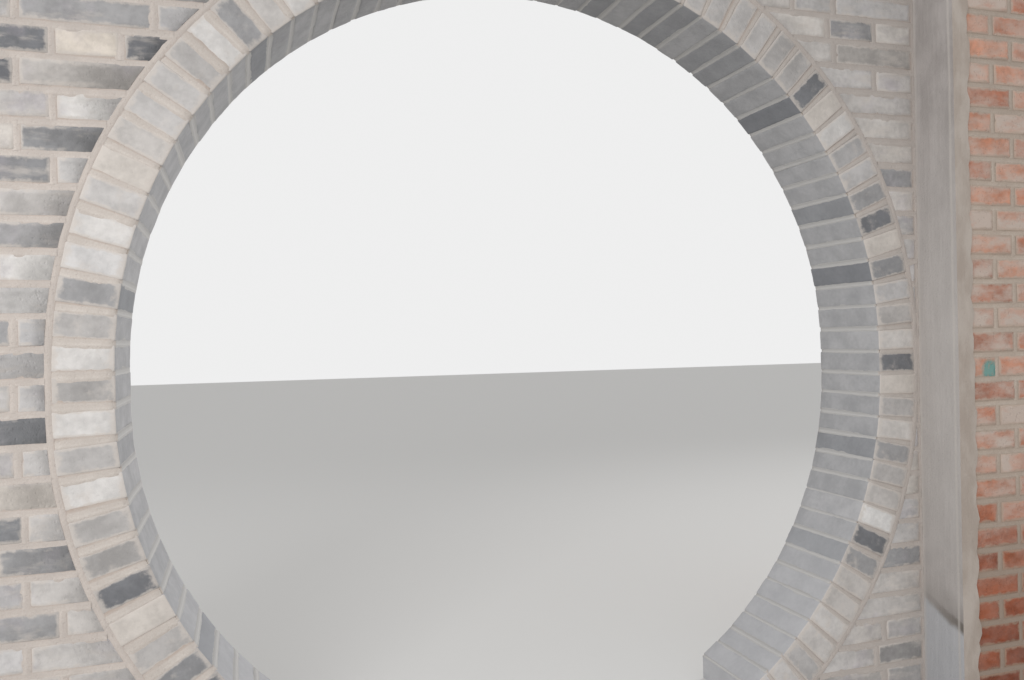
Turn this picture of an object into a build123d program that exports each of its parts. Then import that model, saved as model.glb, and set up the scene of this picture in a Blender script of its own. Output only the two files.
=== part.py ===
from build123d import *
import os
from math import acos, ceil, degrees, floor, radians, sin, tan

# Round gateway in a grey brick garden wall, with a red brick pier at its right end.
# X runs along the wall, Y from the front face to the back, Z up.
# The origin is on the ground, under the centre of the opening, in the wall's mid-plane.
# All sizes are in millimetres.

# Bricks
brick_length = 240.0
brick_width = 115.0
brick_height = 53.0
bed_joint = 10.0
course = brick_height + bed_joint

# The opening: two half circles with a short upright stretch between them
clear_radius = 920.0
upright_height = 76.0
foot_gap = 1030.0
foot_height = course

# The ring of bricks round the opening: the least joint that the mason left
# over the springing, at the lower left and at the lower right
upper_ring_joint = 7.0
wide_ring_joint = 11.0
tight_ring_joint = 3.5
joint_recess = 3.0
outer_bed = 10.0
bricks_in_group = 6

# The grey wall
wall_thickness = brick_length
courses_over_ring = 2
courses_over_haunch = 7
packing_width = 17.0

# The red pier and the cement on its side
pier_width = 490.0
pier_depth = 490.0
render_thickness = 12.0
render_wrap_thickness = 6.0
render_wrap_width = 50.0
render_arris_radius = 4.0

# The oversailing course and the cement weathering on top
coping_overhang = 30.0
cap_setback = 8.0
cap_edge = 22.0
cap_rise = 38.0

# What follows from the sizes above
lower_sweep = degrees(acos(foot_gap / 2 / clear_radius))
level_share = degrees(upright_height / 2 / clear_radius)


def bricks_over(sweep, least_joint):
    """Count the bricks from a level brick to the end of an arc."""
    brick_angle = degrees((brick_height + least_joint) / clear_radius)
    return floor((level_share + sweep) / brick_angle - 0.5)


def pitch_over(sweep, count):
    """Share a level brick's half stretch and an arc equally between bricks."""
    return (level_share + sweep) / (count + 0.5)


half_count = bricks_over(90, upper_ring_joint)
left_count = bricks_over(lower_sweep, wide_ring_joint)
right_count = bricks_over(lower_sweep, tight_ring_joint)
upper_count = 2 * half_count
upper_pitch = pitch_over(90, half_count)
left_pitch = pitch_over(lower_sweep, left_count)
right_pitch = pitch_over(lower_sweep, right_count)
upper_start = upper_pitch / 2 - level_share
left_start = 180 + left_pitch / 2 - level_share
right_start = level_share - right_pitch / 2

springing_low = foot_height + clear_radius * sin(radians(lower_sweep))
springing_high = springing_low + upright_height
centre_height = (springing_low + springing_high) / 2
ring_outer = clear_radius + brick_width + outer_bed
shoulder_height = course * round(centre_height / course)
haunch_height = course * (ceil((springing_high + ring_outer) / course) + courses_over_ring)
wall_height = haunch_height + course * courses_over_haunch

pier_face = ring_outer + packing_width
half_length = pier_face + pier_width
render_face = pier_face - render_thickness
pier_coping_edge = pier_face - coping_overhang

os.makedirs("parts", exist_ok=True)


def save(piece, name):
    """Name a finished piece and write it to its own file."""
    piece.part.label = name
    export_step(piece.part, f"parts/{name}.step")


def rectangle_between(x_low, x_high, y_low, y_high, mode=Mode.ADD):
    """Draw a rectangle in the current sketch from its four limits."""
    with Locations(((x_low + x_high) / 2, (y_low + y_high) / 2)):
        Rectangle(x_high - x_low, y_high - y_low, mode=mode)


def cut_gateway(radius):
    """Cut the stilted circle of one radius out of the current sketch."""
    with Locations((0, springing_low), (0, springing_high)):
        Circle(radius, mode=Mode.SUBTRACT)
    rectangle_between(-radius, radius, springing_low, springing_high, Mode.SUBTRACT)


# Ring bricks: each runs through the wall, with its narrow face to the opening


def draw_ring_bricks(centre, first_angle, pitch, count, mode=Mode.ADD):
    """Draw the ends of a run of bricks that stand on the clear radius."""
    with Locations((0, centre)):
        with PolarLocations(clear_radius, count, first_angle + pitch / 2, pitch * count):
            Rectangle(brick_width, brick_height, align=(Align.MIN, Align.CENTER), mode=mode)


def draw_level_brick(side, mode=Mode.ADD):
    """Draw the end of the level brick in the upright stretch."""
    with Locations((side * clear_radius, centre_height)):
        inner = Align.MIN if side > 0 else Align.MAX
        Rectangle(brick_width, brick_height, align=(inner, Align.CENTER), mode=mode)


def make_brick_group(name, centre, first_angle, pitch, count):
    """Make a run of ring bricks that stand clear of each other."""
    with BuildPart() as group:
        with BuildSketch(Plane.XZ):
            draw_ring_bricks(centre, first_angle, pitch, count)
        extrude(amount=wall_thickness / 2, both=True)
        split(bisect_by=Plane.XY)
    save(group, name)


def make_brick_run(name, centre, start_angle, pitch, count):
    """Share a run of ring bricks between groups, numbered along the run."""
    groups = ceil(count / bricks_in_group)
    for number in range(groups):
        first = round(number * count / groups)
        size = round((number + 1) * count / groups) - first
        angle = start_angle + pitch * first
        make_brick_group(f"{name}_{number + 1}", centre, angle, pitch, size)


# The upper run climbs from the right springing over the crown to the left one,
# and each lower run goes from its springing down to the foot.
make_brick_run("ring_upper", springing_high, upper_start, upper_pitch, upper_count)
make_brick_run("ring_lower_left", springing_low, left_start, left_pitch, left_count)
make_brick_run("ring_lower_right", springing_low, right_start, -right_pitch, right_count)

for side, side_name in ((-1, "left"), (1, "right")):
    with BuildPart() as level_brick:
        with BuildSketch(Plane.XZ):
            draw_level_brick(side)
        extrude(amount=wall_thickness / 2, both=True)
    save(level_brick, f"ring_springer_{side_name}")


# Ring mortar: wedge joints between the bricks and a bed round their outer ends


def draw_ring_sector(centre, start_angle, sweep):
    """Draw the piece of mortar ring between two angles, before its pockets."""
    inner = clear_radius + joint_recess
    with BuildLine() as outline:
        outer_arc = CenterArc((0, centre), ring_outer, start_angle, sweep)
        inner_arc = CenterArc((0, centre), inner, start_angle, sweep)
        Line(outer_arc @ 0, inner_arc @ 0)
        Line(outer_arc @ 1, inner_arc @ 1)
    make_face(outline.edges())


def cut_brick_pockets():
    """Leave a pocket in the current sketch for every brick of the ring."""
    draw_ring_bricks(springing_high, upper_start, upper_pitch, upper_count, Mode.SUBTRACT)
    draw_ring_bricks(springing_low, left_start, left_pitch, left_count, Mode.SUBTRACT)
    draw_ring_bricks(springing_low, right_start, -right_pitch, right_count, Mode.SUBTRACT)
    draw_level_brick(-1, Mode.SUBTRACT)
    draw_level_brick(1, Mode.SUBTRACT)


mortar_depth = wall_thickness / 2 - joint_recess
bricks_per_mortar = round(upper_count / 3)
crown_start = upper_start + bricks_per_mortar * upper_pitch
crown_end = 180 - crown_start

for name, start, end in (
    ("right", 0, crown_start),
    ("crown", crown_start, crown_end),
    ("left", crown_end, 180),
):
    with BuildPart() as mortar:
        with BuildSketch(Plane.XZ):
            draw_ring_sector(springing_high, start, end - start)
            cut_brick_pockets()
        extrude(amount=mortar_depth, both=True)
    save(mortar, f"ring_mortar_{name}")

for side, side_name in ((-1, "left"), (1, "right")):
    start = 180 if side < 0 else 0
    inner_edge = side * (clear_radius + joint_recess)
    outer_edge = side * ring_outer
    with BuildPart() as mortar:
        with BuildSketch(Plane.XZ):
            draw_ring_sector(springing_low, start, -side * lower_sweep)
            rectangle_between(
                min(inner_edge, outer_edge),
                max(inner_edge, outer_edge),
                springing_low,
                springing_high,
            )
            cut_brick_pockets()
        extrude(amount=mortar_depth, both=True)
        split(bisect_by=Plane.XY)
    save(mortar, f"ring_mortar_lower_{side_name}")


# Feet: the upright cheeks that end the ring at the ground

foot_reach = foot_height / tan(radians(lower_sweep))
for side, side_name in ((-1, "left"), (1, "right")):
    with BuildPart() as foot:
        with BuildSketch(Plane.XZ):
            with BuildLine():
                Polyline(
                    (side * foot_gap / 2, 0),
                    (side * foot_gap / 2, foot_height),
                    (side * (foot_gap / 2 + foot_reach), 0),
                    close=True,
                )
            make_face()
        extrude(amount=wall_thickness / 2, both=True)
    save(foot, f"ring_foot_{side_name}")


# Grey wall: plain masonry fitted round the ring, in lifts that end on bed joints


def make_wall(name, x_low, x_high, z_low, z_high):
    """Make one block of the grey wall, cut back to the outside of the ring."""
    with BuildPart() as wall:
        with BuildSketch(Plane.XZ):
            rectangle_between(x_low, x_high, z_low, z_high)
            cut_gateway(ring_outer)
        extrude(amount=wall_thickness / 2, both=True)
    save(wall, name)


make_wall("wall_left_lower", -half_length, 0, 0, shoulder_height)
make_wall("wall_right_lower", 0, pier_face, 0, shoulder_height)
make_wall("spandrel_left", -half_length, 0, shoulder_height, haunch_height)
make_wall("spandrel_right", 0, pier_face, shoulder_height, haunch_height)
make_wall("wall_over_arch", -half_length, pier_face, haunch_height, wall_height)


# Red pier: a square shaft that stands forward of the wall on both faces

with BuildPart() as pier:
    with BuildSketch():
        rectangle_between(pier_face, half_length, -pier_depth / 2, pier_depth / 2)
    extrude(amount=wall_height)
save(pier, "pier_shaft")


# Cement render: it covers the pier's side in front of the wall and turns its corner

with BuildPart() as render:
    with BuildSketch():
        wrap_face = -pier_depth / 2 - render_wrap_thickness
        rectangle_between(render_face, pier_face, wrap_face, -wall_thickness / 2)
        wrap_edge = render_face + render_wrap_width
        rectangle_between(render_face, wrap_edge, wrap_face, -pier_depth / 2)
    extrude(amount=wall_height)
    arris = render.edges().filter_by(Axis.Z).group_by(Axis.Y)[0].sort_by(Axis.X)[0]
    fillet(arris, radius=render_arris_radius)
save(render, "render_front")

with BuildPart() as render_behind:
    add(render.part)
    mirror(about=Plane.XZ, mode=Mode.REPLACE)
save(render_behind, "render_back")


# Coping: one brick course that oversails the wall, the left end and the pier

coping_height = course
coping_half_depth = wall_thickness / 2 + coping_overhang
pier_coping_half_depth = pier_depth / 2 + coping_overhang

with BuildPart() as wall_coping:
    with BuildSketch(Plane.XY.offset(wall_height)):
        rectangle_between(
            -half_length - coping_overhang,
            pier_coping_edge,
            -coping_half_depth,
            coping_half_depth,
        )
    extrude(amount=coping_height)
save(wall_coping, "wall_coping")

with BuildPart() as pier_coping:
    with BuildSketch(Plane.XY.offset(wall_height)):
        rectangle_between(
            pier_coping_edge,
            half_length + coping_overhang,
            -pier_coping_half_depth,
            pier_coping_half_depth,
        )
    extrude(amount=coping_height)
save(pier_coping, "pier_coping")


# Caps: cement weathering, ridged along the wall and hipped over the pier

cap_base = wall_height + coping_height
cap_half_depth = coping_half_depth - cap_setback
cap_end = pier_coping_edge + cap_setback
cap_start = -half_length - coping_overhang + cap_setback

with BuildPart() as wall_cap:
    with BuildSketch(Plane.YZ.offset(cap_start)):
        with BuildLine():
            Polyline(
                (-cap_half_depth, cap_base),
                (cap_half_depth, cap_base),
                (cap_half_depth, cap_base + cap_edge),
                (0, cap_base + cap_edge + cap_rise),
                (-cap_half_depth, cap_base + cap_edge),
                close=True,
            )
        make_face()
    extrude(amount=cap_end - cap_start)
save(wall_cap, "wall_cap")

pier_cap_width = pier_width + 2 * (coping_overhang - cap_setback)
pier_cap_depth = pier_depth + 2 * (coping_overhang - cap_setback)
pier_centre = (pier_face + half_length) / 2

with BuildPart() as pier_cap:
    with BuildSketch(Plane.XY.offset(cap_base)):
        with Locations((pier_centre, 0)):
            Rectangle(pier_cap_width, pier_cap_depth)
    extrude(amount=cap_edge)
    with BuildSketch(Plane.XY.offset(cap_base + cap_edge)):
        with Locations((pier_centre, 0)):
            Rectangle(pier_cap_width, pier_cap_depth)
    with BuildSketch(Plane.XY.offset(cap_base + cap_edge + cap_rise)):
        with Locations((pier_centre, 0)):
            Rectangle(pier_cap_width / 8, pier_cap_depth / 8)
    loft()
save(pier_cap, "pier_cap")
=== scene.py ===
from math import acos, ceil, pi, radians, sin, cos, sqrt
import random
import bpy
from mathutils import Matrix, Vector


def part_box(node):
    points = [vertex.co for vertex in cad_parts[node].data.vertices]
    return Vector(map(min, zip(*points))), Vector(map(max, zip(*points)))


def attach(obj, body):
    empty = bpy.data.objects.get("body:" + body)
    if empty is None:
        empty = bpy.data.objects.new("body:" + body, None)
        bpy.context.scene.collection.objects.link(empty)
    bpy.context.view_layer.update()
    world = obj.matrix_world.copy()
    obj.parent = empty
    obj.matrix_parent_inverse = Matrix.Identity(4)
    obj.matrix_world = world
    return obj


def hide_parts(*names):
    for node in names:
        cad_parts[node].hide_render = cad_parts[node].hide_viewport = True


# Finish for the round gateway: every brick, the pointing, the cement and their colours.
# Metres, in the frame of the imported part: X along the wall, Y to the back, Z up.

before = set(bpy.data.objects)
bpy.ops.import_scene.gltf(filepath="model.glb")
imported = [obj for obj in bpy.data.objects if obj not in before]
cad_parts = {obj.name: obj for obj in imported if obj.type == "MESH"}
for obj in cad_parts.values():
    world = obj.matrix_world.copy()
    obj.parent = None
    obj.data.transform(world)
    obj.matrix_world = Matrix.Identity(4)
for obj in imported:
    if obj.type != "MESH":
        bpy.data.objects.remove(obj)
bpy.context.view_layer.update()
dice = random.Random(11)

# Bricks and courses
course = 0.063
brick_height = 0.053
stretcher_length = 0.240
header_length = 0.115
three_quarter = 0.178
cut_brick = 0.052
joint = 0.010
wall_half = 0.120
core_depth = 0.004
arris_wear = 0.0025
ring_arris_wear = 0.0032

# The rim of a brick's face that mortar is smeared over, and how near its arrises it is marked
rim_width = 0.009
rim_reach = 0.004

# A difference in place that is too small to matter, and how far pieces keep off the ground
hair = 0.001
ground_cut = 0.0005

# How near two points are merged: in a solid, and where lengths of pointing meet
same_point = 0.0001
seam = 0.0005

# The opening and its ring
clear_radius = 0.920
ring_depth = 0.115
ring_outer = 1.045
upper_count = 48
left_count = 14
right_count = 16
bricks_in_group = 6
foot_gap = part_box("ring_foot_right")[0].x
level_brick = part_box("ring_springer_left")
centre_height = (level_brick[0].z + level_brick[1].z) / 2
springing_high = centre_height + 0.038
springing_low = centre_height - 0.038
lower_sweep = acos(foot_gap / clear_radius)
level_share = (springing_high - springing_low) / 2 / clear_radius
upper_pitch = (level_share + pi / 2) / (upper_count / 2 + 0.5)
left_pitch = (level_share + lower_sweep) / (left_count + 0.5)
right_pitch = (level_share + lower_sweep) / (right_count + 0.5)

# The wall, the pier and the cement on the pier's side
left_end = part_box("wall_left_lower")[0].x
shoulder_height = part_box("wall_left_lower")[1].z
haunch_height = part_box("spandrel_left")[1].z
wall_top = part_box("pier_shaft")[1].z
pier_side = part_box("pier_shaft")[0].x
pier_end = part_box("pier_shaft")[1].x
pier_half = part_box("pier_shaft")[1].y
cement_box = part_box("render_front")


# Hand tools


def pick(piece):
    """Leave one piece selected and active."""
    bpy.ops.object.select_all(action="DESELECT")
    piece.select_set(True)
    bpy.context.view_layer.objects.active = piece


def settle(piece):
    """Put a piece's place, turn and size into its mesh."""
    pick(piece)
    bpy.ops.object.transform_apply(location=True, rotation=True, scale=True)


def select_points(piece, test):
    """Open a piece for editing with the points that pass a test selected."""
    pick(piece)
    bpy.ops.object.mode_set(mode="EDIT")
    bpy.context.tool_settings.mesh_select_mode = (True, False, False)
    bpy.ops.mesh.select_all(action="DESELECT")
    bpy.ops.object.mode_set(mode="OBJECT")
    for point in piece.data.vertices:
        point.select = test(point.co)
    bpy.ops.object.mode_set(mode="EDIT")


def close_edit():
    """Go back from editing."""
    bpy.ops.object.mode_set(mode="OBJECT")


def change_points(piece, test, operation, **settings):
    """Run one operation on the points of a piece that pass a test."""
    select_points(piece, test)
    operation(**settings)
    close_edit()


def shift_points(piece, test, move):
    """Move the points of a piece that pass a test."""
    change_points(piece, test, bpy.ops.transform.translate, value=move)


def change_all(piece, operation, **settings):
    """Run one operation on the whole of a piece."""
    pick(piece)
    bpy.ops.object.mode_set(mode="EDIT")
    bpy.ops.mesh.select_all(action="SELECT")
    operation(**settings)
    close_edit()


def set_out(name, size, place):
    """Name the shape that was just added and give it its size and place."""
    piece = bpy.context.object
    piece.name = name
    piece.scale = size
    piece.location = place
    settle(piece)
    return piece


def start_block(name, size, place=(0, 0, 0)):
    """Start a piece from a block."""
    bpy.ops.mesh.primitive_cube_add(size=1)
    return set_out(name, size, place)


def start_sheet(name, columns, rows, width, height, place=(0, 0, 0)):
    """Start a piece from an upright sheet that faces the front."""
    bpy.ops.mesh.primitive_grid_add(
        x_subdivisions=columns, y_subdivisions=rows, size=1, rotation=(pi / 2, 0, 0)
    )
    return set_out(name, (width, height, 1), place)


def copy_of(pattern, place=(0, 0, 0), turn=(0, 0, 0), stretch=(1, 1, 1)):
    """Copy a pattern, mesh and all, and set the copy in its place."""
    twin = pattern.copy()
    twin.data = pattern.data.copy()
    twin.location = place
    twin.rotation_euler = turn
    twin.scale = stretch
    bpy.context.scene.collection.objects.link(twin)
    return twin


def join(name, parts):
    """Join parts into one named piece with its place in its mesh."""
    bpy.context.view_layer.update()
    bpy.ops.object.select_all(action="DESELECT")
    for part in parts:
        part.select_set(True)
    bpy.context.view_layer.objects.active = parts[0]
    bpy.ops.object.join()
    piece = bpy.context.view_layer.objects.active
    piece.name = name
    piece.data.name = name
    settle(piece)
    return piece


def apply_modifier(piece, kind, **settings):
    """Add a modifier, set it and apply it."""
    pick(piece)
    change = piece.modifiers.new("change", kind)
    for key, value in settings.items():
        setattr(change, key, value)
    bpy.ops.object.modifier_apply(modifier=change.name)


def clouds(name, size):
    """A cloud texture for uneven surfaces."""
    texture = bpy.data.textures.new(name, "CLOUDS")
    texture.noise_scale = size
    texture.noise_depth = 2
    return texture


fine_lumps = clouds("fine_lumps", 0.016)
hand_lumps = clouds("hand_lumps", 0.045)
long_waver = clouds("long_waver", 0.16)


def roughen(piece, texture, strength, direction="NORMAL", group=""):
    """Push a surface, or a group of its points, in and out by a cloud texture."""
    apply_modifier(
        piece,
        "DISPLACE",
        texture=texture,
        texture_coords="LOCAL",
        direction=direction,
        strength=strength,
        mid_level=0.5,
        vertex_group=group,
    )


# How uneven each kind of piece is: which texture, how strong, and which way if only one
brick_wear = [(hand_lumps, 0.0016)]
ring_wear = [(hand_lumps, 0.0022), (fine_lumps, 0.0012)]
wall_pointing_wear = [(long_waver, 0.005, "Z"), (hand_lumps, 0.0030), (fine_lumps, 0.0032)]
ring_pointing_wear = [(long_waver, 0.003), (fine_lumps, 0.0022)]
round_bed_wear = [(long_waver, 0.004, "Z"), (hand_lumps, 0.0020), (fine_lumps, 0.0024)]
pier_pointing_wear = [(long_waver, 0.004, "Z"), (fine_lumps, 0.0022)]


def wear(piece, lumps):
    """Make a surface uneven with one texture after another."""
    for texture, strength, *direction in lumps:
        roughen(piece, texture, strength, *direction)


def finish_piece(piece, slot, material, *nodes):
    """Hang a finished piece on the frame and give it its material."""
    piece.data.materials.clear()
    piece.data.materials.append(material)
    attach(piece, "root")
    if nodes:
        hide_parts(*nodes)


def assemble(name, parts, lumps, slot, material):
    """Join parts into one piece, make it uneven and finish it."""
    piece = join(name, parts)
    wear(piece, lumps)
    finish_piece(piece, slot, material)


def discard(*patterns):
    """Throw away patterns once their copies are laid."""
    for pattern in patterns:
        bpy.data.objects.remove(pattern)


# Colours and nodes


def paint(red, green, blue):
    """A colour from its screen values, 0 to 255."""
    values = []
    for screen in (red, green, blue):
        part = screen / 255
        values.append(part / 12.92 if part <= 0.04045 else ((part + 0.055) / 1.055) ** 2.4)
    return (*values, 1)


def add(tree, kind, inputs=None, **settings):
    """Add a shader node, set it, and link or fill its named inputs."""
    made = tree.nodes.new("ShaderNode" + kind)
    for key, value in settings.items():
        setattr(made, key, value)
    for key, value in (inputs or {}).items():
        if isinstance(value, bpy.types.NodeSocket):
            tree.links.new(value, made.inputs[key])
        else:
            made.inputs[key].default_value = value
    return made


def calc(tree, operation, first, second=0.0, clamp=False):
    """One sum on two numbers or sockets."""
    made = add(tree, "Math", {0: first, 1: second}, operation=operation, use_clamp=clamp)
    return made.outputs[0]


def times(tree, first, second):
    """The product of two numbers or sockets."""
    return calc(tree, "MULTIPLY", first, second)


def scale(tree, vector, factor):
    """A colour or a place multiplied by one number."""
    return add(tree, "VectorMath", {0: vector, 3: factor}, operation="SCALE").outputs[0]


def mix(tree, factor, first, second, way="MIX"):
    """Mix two colours."""
    inputs = {0: factor, 6: first, 7: second}
    made = add(tree, "Mix", inputs, data_type="RGBA", blend_type=way)
    return made.outputs[2]


def fade(tree, value, start, end, low=0.0, high=1.0):
    """Take a number smoothly from low to high between start and end."""
    inputs = {"Value": value, "From Min": start, "From Max": end, "To Min": low, "To Max": high}
    made = add(tree, "MapRange", inputs, interpolation_type="SMOOTHSTEP")
    return made.outputs["Result"]


def ramp(tree, value, stops):
    """Colours in order along a number from 0 to 1."""
    made = add(tree, "ValToRGB", {"Fac": value})
    band = made.color_ramp
    while len(band.elements) < len(stops):
        band.elements.new(0.5)
    for element, (position, colour) in zip(band.elements, stops):
        element.position = position
        element.color = colour
    return made.outputs["Color"]


def noise(tree, place, size, detail, **inputs):
    """Plain noise of one size, from 0 to 1."""
    given = {"Vector": place, "Scale": size, "Detail": detail, **inputs}
    return add(tree, "TexNoise", given).outputs["Fac"]


def split(tree, place):
    """The three coordinates of a place, or the three parts of a direction."""
    parts = add(tree, "SeparateXYZ", {0: place}).outputs
    return parts["X"], parts["Y"], parts["Z"]


# Node groups: effects that several materials share


def new_group(name, inputs, outputs):
    """Start a shader node group with named sockets."""
    group = bpy.data.node_groups.new(name, "ShaderNodeTree")
    for socket_name, kind, value in inputs:
        socket = group.interface.new_socket(
            name=socket_name, in_out="INPUT", socket_type="NodeSocket" + kind
        )
        if value is not None:
            socket.default_value = value
    for socket_name, kind in outputs:
        group.interface.new_socket(
            name=socket_name, in_out="OUTPUT", socket_type="NodeSocket" + kind
        )
    return group, group.nodes.new("NodeGroupInput").outputs, group.nodes.new("NodeGroupOutput")


def make_stain_group():
    """Cloudy stain: soft patches of a chosen size and amount."""
    inputs = [
        ("Vector", "Vector", None),
        ("Size", "Float", 0.1),
        ("Stretch", "Vector", (1, 1, 1)),
        ("Start", "Float", 0.45),
        ("End", "Float", 0.65),
    ]
    group, given, result = new_group("Cloudy Stain", inputs, [("Mask", "Float")])
    shaped = add(group, "VectorMath", {0: given["Vector"], 1: given["Stretch"]}, operation="MULTIPLY")
    grain_scale = calc(group, "DIVIDE", 1.0, given["Size"])
    cloud = noise(group, shaped.outputs[0], grain_scale, 5.0, Roughness=0.6)
    mask = fade(group, cloud, given["Start"], given["End"])
    group.links.new(mask, result.inputs["Mask"])
    return group


def make_grain_group():
    """Stone grain: fine grit with scattered pits, as a height in metres."""
    inputs = [
        ("Vector", "Vector", None),
        ("Grit", "Float", 0.0004),
        ("Pits", "Float", 0.0003),
        ("Swell", "Float", 0.0006),
    ]
    group, given, result = new_group("Stone Grain", inputs, [("Height", "Float")])
    grit = times(group, noise(group, given["Vector"], 420.0, 4.0), given["Grit"])
    swell = times(group, noise(group, given["Vector"], 38.0, 3.0), given["Swell"])
    cells = add(group, "TexVoronoi", {"Vector": given["Vector"], "Scale": 110.0}, feature="F1")
    holes = fade(group, cells.outputs["Distance"], 0.12, 0.34, 1.0, 0.0)
    pits = times(group, holes, given["Pits"])
    total = calc(group, "SUBTRACT", calc(group, "ADD", grit, swell), pits)
    group.links.new(total, result.inputs["Height"])
    return group


def make_mottle_group():
    """Fired mottle: the patchy colour inside one brick, shifted from brick to brick."""
    inputs = [
        ("Vector", "Vector", None),
        ("Seed", "Float", 0.0),
        ("Color", "Color", (0.5, 0.5, 0.5, 1)),
        ("Depth", "Float", 0.2),
    ]
    group, given, result = new_group("Fired Mottle", inputs, [("Color", "Color")])
    shift = times(group, given["Seed"], 37.0)
    moved = add(group, "VectorMath", {0: given["Vector"], 1: shift}, operation="ADD").outputs[0]
    broad = noise(group, moved, 17.0, 4.0)
    small = noise(group, moved, 85.0, 5.0)
    both = calc(group, "ADD", broad, times(group, small, 0.5))
    shade = fade(group, both, 0.50, 1.00)
    low = calc(group, "SUBTRACT", 1.0, given["Depth"])
    high = calc(group, "ADD", 1.0, times(group, given["Depth"], 0.45))
    span = calc(group, "SUBTRACT", high, low)
    factor = calc(group, "ADD", low, times(group, shade, span))
    group.links.new(scale(group, given["Color"], factor), result.inputs["Color"])
    return group


stain_group = make_stain_group()
grain_group = make_grain_group()
mottle_group = make_mottle_group()


def use_group(tree, group, inputs, output):
    """Place a node group and give back one of its outputs."""
    return add(tree, "Group", inputs, node_tree=group).outputs[output]


def stain(tree, place, size, start, end, stretch=(1, 1, 1)):
    """Soft patches of one size, as a mask from 0 to 1."""
    inputs = {"Vector": place, "Size": size, "Stretch": stretch, "Start": start, "End": end}
    return use_group(tree, stain_group, inputs, "Mask")


def mottle(tree, place, seed, colour, depth):
    """A brick's colour with the mottle that firing leaves in it."""
    inputs = {"Vector": place, "Seed": seed, "Color": colour, "Depth": depth}
    return use_group(tree, mottle_group, inputs, "Color")


def grain(tree, place, **depths):
    """The relief of a surface's grain, with its depths in metres."""
    return use_group(tree, grain_group, {"Vector": place, **depths}, "Height")


# Materials


def new_material(name, roughness):
    """Start a material with its shader and object coordinates."""
    material = bpy.data.materials.new(name)
    material.use_nodes = True
    tree = material.node_tree
    shader = tree.nodes["Principled BSDF"]
    shader.inputs["Roughness"].default_value = roughness
    shader.inputs["Specular IOR Level"].default_value = 0.25
    place = add(tree, "TexCoord").outputs["Object"]
    return material, tree, shader, place


def end_material(tree, shader, colour, height):
    """Feed colour and height into a material's shader."""
    tree.links.new(colour, shader.inputs["Base Color"])
    bump = add(tree, "Bump", {"Height": height, "Strength": 1.0, "Distance": 1.0})
    tree.links.new(bump.outputs["Normal"], shader.inputs["Normal"])


grey_firings = [
    (0.00, paint(113, 114, 118)),
    (0.16, paint(135, 136, 139)),
    (0.34, paint(157, 156, 157)),
    (0.58, paint(182, 180, 180)),
    (0.82, paint(201, 199, 199)),
    (1.00, paint(228, 226, 224)),
]
red_firings = [
    (0.0, paint(150, 98, 80)),
    (0.3, paint(182, 118, 94)),
    (0.6, paint(204, 136, 108)),
    (1.0, paint(216, 154, 126)),
]
cream = paint(224, 209, 190)
lilac = paint(184, 177, 184)
lime_film = paint(207, 199, 192)
pointing_grey = paint(172, 166, 162)
pointing_damp = paint(146, 128, 114)

# Where the wall begins to darken upwards, and where it is darkest
darkening_start = 1.20
darkening_end = 1.75

# The newer mix at the foot of the cement: the height of its edge at the wall, how much
# the edge falls for each metre forward, and how far it wanders
patch_edge = 0.228
patch_fall = 0.42
patch_wander = 0.014

# A dab of old paint on the pier
dab_place = (1.157, -0.246, 0.842)


def darken_high(tree, place, colour):
    """Darken what stands high in the wall, from the start of the darkening up to its end, and lighten
    it a little below.
    """
    height = split(tree, place)[2]
    return scale(tree, colour, fade(tree, height, darkening_start, darkening_end, 1.03, 0.90))


def face_share(tree):
    """How squarely a surface looks to the front or the back, from 0 to 1."""
    normal = add(tree, "NewGeometry").outputs["Normal"]
    return calc(tree, "ABSOLUTE", split(tree, normal)[1])


def read_firing(tree):
    """What is written in a brick: its tone, its warmth, its own number and its soffit's tone."""
    fired = add(tree, "Attribute", attribute_name="fired").outputs
    parts = add(tree, "SeparateColor", {"Color": fired["Color"]}).outputs
    return parts["Red"], parts["Green"], parts["Blue"], fired["Alpha"]


def smear(tree, place, colour, film, amount):
    """Draw mortar in from the arrises of a brick, further in some places than in others."""
    rim = add(tree, "Attribute", attribute_name="rim").outputs["Fac"]
    ragged = stain(tree, place, 0.02, 0.3, 0.7)
    reach = calc(tree, "ADD", rim, times(tree, ragged, 0.7))
    return mix(tree, fade(tree, reach, 0.55, 1.35, 0.0, amount), colour, film)


def make_grey_brick():
    """Grey brick of the wall face, with lime and mortar rubbed over it."""
    material, tree, shader, place = new_material("grey_brick", 0.93)
    tone, warmth, seed, _ = read_firing(tree)
    warm = mix(tree, warmth, ramp(tree, tone, grey_firings), cream)
    hue = stain(tree, place, 0.09, 0.5, 0.75)
    tinted = mix(tree, times(tree, hue, 0.45), warm, lilac)
    mottled = mottle(tree, place, seed, tinted, 0.20)
    film = stain(tree, place, 0.035, 0.52, 0.72, (0.4, 1, 1.3))
    limed = mix(tree, times(tree, film, 0.50), mottled, lime_film)
    smeared = smear(tree, place, limed, lime_film, 0.75)
    end_material(tree, shader, darken_high(tree, place, smeared), grain(tree, place))
    return material


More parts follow.
